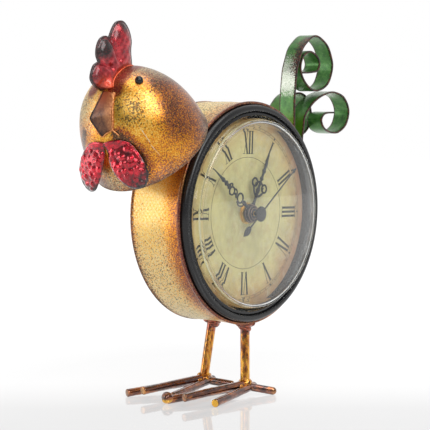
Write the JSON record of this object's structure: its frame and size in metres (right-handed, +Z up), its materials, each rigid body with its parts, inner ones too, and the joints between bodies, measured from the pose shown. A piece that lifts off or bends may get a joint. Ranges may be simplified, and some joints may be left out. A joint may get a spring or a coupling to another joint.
{
  "type": "rooster desk clock",
  "caption": "Free-standing sheet-iron rooster figure whose drum body holds a round quartz clock with Roman dial, domed lens, scroll hands, curled strip tail and rod legs.",
  "frame": {"origin": "on the floor, under the centre of the object's bounding box", "axes": "+Z up; +X from the beak towards the tail; the dial faces -Y"},
  "size_m": [0.276, 0.0808, 0.2497],
  "materials": {
    "gold_lacquer_sheet": "hand-painted gold, copper and umber lacquer over iron sheet, semi-gloss",
    "copper_lacquer_sheet": "copper-brown lacquer with bright rubbed edges, semi-gloss",
    "red_lacquer_sheet": "transparent metallic red lacquer with blackened edges, glossy",
    "green_lacquer_strip": "metallic green lacquer with dark edges, semi-gloss",
    "amber_lacquer_rod": "amber-gold lacquer with dark patches, glossy",
    "copper_lacquer_rod": "copper-brown lacquer, glossy",
    "black_bead": "polished black bead",
    "black_bezel_plastic": "moulded black plastic, satin gloss",
    "clear_lens": "clear acrylic, polished",
    "black_rubber": "matt",
    "printed_dial_paper": "printed antique cream paper on card, matt",
    "black_case_plastic": "moulded, fine texture",
    "grey_plastic": "moulded, fine texture",
    "white_gear_plastic": "moulded acetal",
    "zinc_steel": "zinc plated",
    "brass_parts": "turned and stamped brass",
    "copper_wire": "enamelled copper wire, glossy",
    "green_board": "solder-masked board",
    "battery_label": "plain printed sleeve over steel can",
    "black_hand_metal": "black lacquered sheet metal, satin"
  },
  "bodies": {
    "clock_body": {"battery_contact_negative": "brass_parts", "battery_contact_positive": "brass_parts", "beak": "copper_lacquer_sheet", "bezel_ring": "black_bezel_plastic", "brass_washer": "brass_parts", "case_screws": "zinc_steel", "circuit_board": "green_board", "coil_bobbin": "white_gear_plastic", "coil_winding": "copper_wire", "comb_left_half": "red_lacquer_sheet", "comb_right_half": "red_lacquer_sheet", "dial_disc": "printed_dial_paper", "drum_shell": "gold_lacquer_sheet", "eye_left": "black_bead", "eye_right": "black_bead", "gear_plate": "white_gear_plastic", "head_back_plate": "gold_lacquer_sheet", "head_shell": "gold_lacquer_sheet", "hex_nut": "brass_parts", "insert_case": "black_case_plastic", "insert_gasket": "black_rubber", "leg_left": "amber_lacquer_rod", "leg_right": "amber_lacquer_rod", "lens": "clear_lens", "movement_cover": "grey_plastic", "movement_housing": "black_case_plastic", "neck_tube": "gold_lacquer_sheet", "quartz_crystal": "zinc_steel", "rear_panel": "gold_lacquer_sheet", "rubber_washer": "black_rubber", "stator": "zinc_steel", "tail_curl_large": "green_lacquer_strip", "tail_curl_rear": "green_lacquer_strip", "tail_curl_small": "green_lacquer_strip", "toe_left_back": "copper_lacquer_rod", "toe_left_inner": "copper_lacquer_rod", "toe_left_middle": "copper_lacquer_rod", "toe_left_outer": "copper_lacquer_rod", "toe_right_back": "copper_lacquer_rod", "toe_right_inner": "copper_lacquer_rod", "toe_right_middle": "copper_lacquer_rod", "toe_right_outer": "copper_lacquer_rod", "wattle_left": "red_lacquer_sheet", "wattle_right": "red_lacquer_sheet"},
    "second_hand_body": {"second_hand": "black_hand_metal", "second_wheel": "white_gear_plastic"},
    "minute_hand_body": {"minute_hand": "black_hand_metal", "minute_arbor": "brass_parts", "centre_wheel": "brass_parts"},
    "hour_hand_body": {"hour_hand": "black_hand_metal", "hour_wheel": "brass_parts"},
    "motion_wheel_body": {"motion_wheel": "white_gear_plastic"},
    "setting_knob_body": {"setting_knob": "grey_plastic"},
    "third_wheel_body": {"third_wheel": "white_gear_plastic"},
    "intermediate_wheel_body": {"intermediate_wheel": "white_gear_plastic"},
    "rotor_body": {"rotor_magnet": "zinc_steel", "rotor_pinion": "white_gear_plastic"},
    "battery_body": {"battery_cell": "battery_label"}
  },
  "joints": [
    {"name": "second_hand_turn", "type": "hinge", "parent": "clock_body", "child": "second_hand_body", "pos_m": [0.0001, 0, 0.1237], "axis": [0, 1, 0], "continuous": true},
    {"name": "minute_hand_turn", "type": "hinge", "parent": "clock_body", "child": "minute_hand_body", "pos_m": [0.0001, 0, 0.1237], "axis": [0, 1, 0], "continuous": true},
    {"name": "hour_hand_turn", "type": "hinge", "parent": "clock_body", "child": "hour_hand_body", "pos_m": [0.0001, 0, 0.1237], "axis": [0, 1, 0], "continuous": true},
    {"name": "motion_wheel_turn", "type": "hinge", "parent": "clock_body", "child": "motion_wheel_body", "pos_m": [0.01209, 0, 0.12318], "axis": [0, 1, 0], "continuous": true},
    {"name": "setting_knob_turn", "type": "hinge", "parent": "clock_body", "child": "setting_knob_body", "pos_m": [0.02201, 0, 0.13079], "axis": [0, 1, 0], "continuous": true},
    {"name": "third_wheel_turn", "type": "hinge", "parent": "clock_body", "child": "third_wheel_body", "pos_m": [0.00668, 0, 0.13402], "axis": [0, 1, 0], "continuous": true},
    {"name": "intermediate_wheel_turn", "type": "hinge", "parent": "clock_body", "child": "intermediate_wheel_body", "pos_m": [-0.00639, 0, 0.13078], "axis": [0, 1, 0], "continuous": true},
    {"name": "rotor_turn", "type": "hinge", "parent": "clock_body", "child": "rotor_body", "pos_m": [-0.01465, 0, 0.13604], "axis": [0, 1, 0], "continuous": true},
    {"name": "battery_slide", "type": "slide", "parent": "clock_body", "child": "battery_body", "axis": [0, 1, 0], "range_m": [0, 0.04]}
  ],
  "couplings": [
    {"joint": "intermediate_wheel_turn", "follows": "second_hand_turn", "ratio": -5},
    {"joint": "rotor_turn", "follows": "second_hand_turn", "ratio": 30},
    {"joint": "third_wheel_turn", "follows": "second_hand_turn", "ratio": -0.13333},
    {"joint": "minute_hand_turn", "follows": "second_hand_turn", "ratio": 0.016667},
    {"joint": "motion_wheel_turn", "follows": "second_hand_turn", "ratio": -0.0055556},
    {"joint": "hour_hand_turn", "follows": "second_hand_turn", "ratio": 0.0013889},
    {"joint": "setting_knob_turn", "follows": "second_hand_turn", "ratio": 0.014286}
  ]
}
